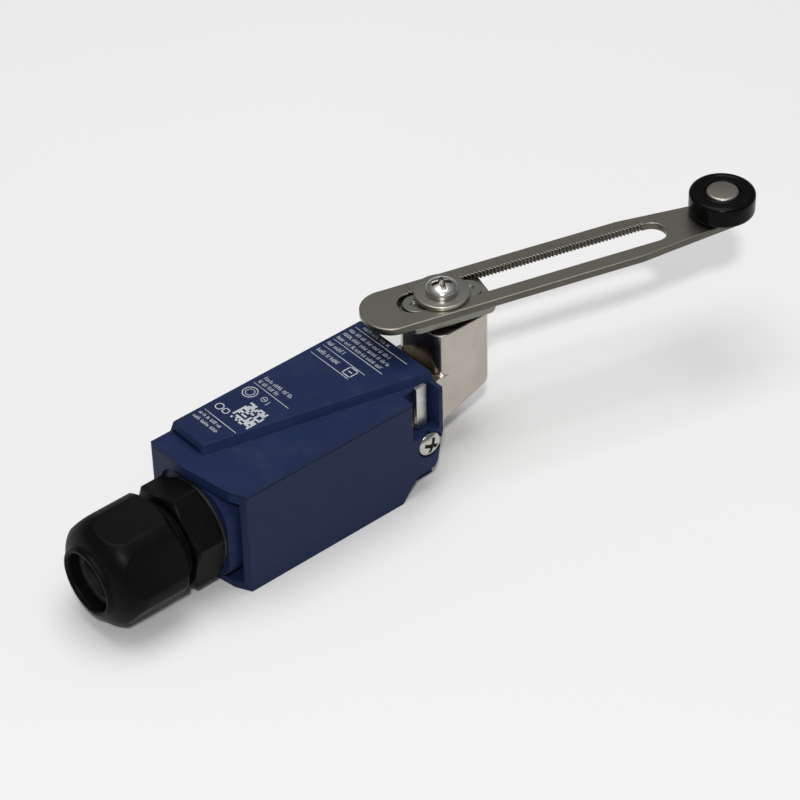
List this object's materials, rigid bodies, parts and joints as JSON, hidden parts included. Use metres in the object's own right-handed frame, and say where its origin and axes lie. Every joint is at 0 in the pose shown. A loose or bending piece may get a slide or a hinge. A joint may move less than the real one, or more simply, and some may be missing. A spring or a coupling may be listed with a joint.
{
  "type": "limit switch",
  "caption": "Compact plastic limit switch with a metal rotary head, a slotted adjustable roller lever, a label cover with a slanted step and a threaded cable gland",
  "frame": {"origin": "midway between the two fixing holes, on the back (mounting) face", "axes": "+Z away from the mounting face, out of the label; +Y along the body from the cable gland to the head; +X to the side of the clamp screw"},
  "size_m": [0.0455, 0.1944, 0.0497],
  "materials": {
    "body_plastic": "satin",
    "block_plastic": "satin",
    "lid_plastic": "satin",
    "carrier_plastic": "satin",
    "gland_plastic": "satin",
    "seal_rubber": "matte",
    "roller_plastic": "satin",
    "head_metal": "satin",
    "arm_steel": "brushed",
    "plate_steel": "satin",
    "bright_steel": "polished",
    "spring_steel": "satin",
    "bush_bronze": "satin",
    "contact_metal": "satin"
  },
  "bodies": {
    "body": {"housing": "body_plastic", "cover": "body_plastic", "cover_gasket": "seal_rubber", "fixing_bushes": "bright_steel", "head_clamp_yoke": "plate_steel", "clamp_screw": "bright_steel", "block_case": "block_plastic", "block_lid": "lid_plastic", "block_screws": "bright_steel", "nc_fixed_contacts": "contact_metal", "no_fixed_contacts": "contact_metal", "terminal_screws": "bright_steel", "terminal_plates": "plate_steel", "carrier_spring": "spring_steel", "gland_body": "gland_plastic", "gland_ring": "seal_rubber", "gland_claws": "gland_plastic", "gland_seal": "seal_rubber", "dome_nut": "gland_plastic"},
    "head": {"head_housing": "head_metal", "head_gasket": "seal_rubber", "shaft_bush": "bush_bronze", "shaft_seal": "seal_rubber", "head_end_cap": "head_metal", "lever_spring": "spring_steel"},
    "lever": {"lever_shaft": "bright_steel", "cam": "bright_steel", "retaining_clip": "spring_steel", "drive_plate": "plate_steel", "arm_screw": "bright_steel", "arm_washer": "arm_steel"},
    "arm": {"lever_arm": "arm_steel", "roller_rivet": "bright_steel", "roller_spacer": "bright_steel"},
    "roller": {"roller": "roller_plastic"},
    "push_rod": {"head_plunger": "bright_steel"},
    "carrier": {"contact_carrier": "carrier_plastic", "nc_bridge": "contact_metal", "no_bridge": "contact_metal"}
  },
  "joints": [
    {"name": "head_turn", "type": "hinge", "parent": "body", "child": "head", "pos_m": [0, 0.0152, 0.016], "axis": [0, 1, 0], "range_deg": [-90, 90]},
    {"name": "lever_turn", "type": "hinge", "parent": "head", "child": "lever", "pos_m": [0, 0.0287, 0.0392], "axis": [0, 0, 1], "range_deg": [-70, 70], "stiffness_Nm_per_rad": 0.15},
    {"name": "arm_length", "type": "slide", "parent": "lever", "child": "arm", "axis": [0.2756, 0.9613, 0], "range_m": [-0.05, 0]},
    {"name": "roller_spin", "type": "hinge", "parent": "arm", "child": "roller", "pos_m": [0.0215, 0.10368, 0.0464], "axis": [0, 0, 1], "continuous": true},
    {"name": "plunger_travel", "type": "slide", "parent": "head", "child": "push_rod", "axis": [0, -1, 0], "range_m": [0, 0.0035], "stiffness_N_per_m": 800},
    {"name": "carrier_travel", "type": "slide", "parent": "body", "child": "carrier", "axis": [0, -1, 0], "range_m": [0, 0.0035], "stiffness_N_per_m": 400}
  ],
  "couplings": [
    {"joint": "carrier_travel", "follows": "plunger_travel", "ratio": 1}
  ]
}
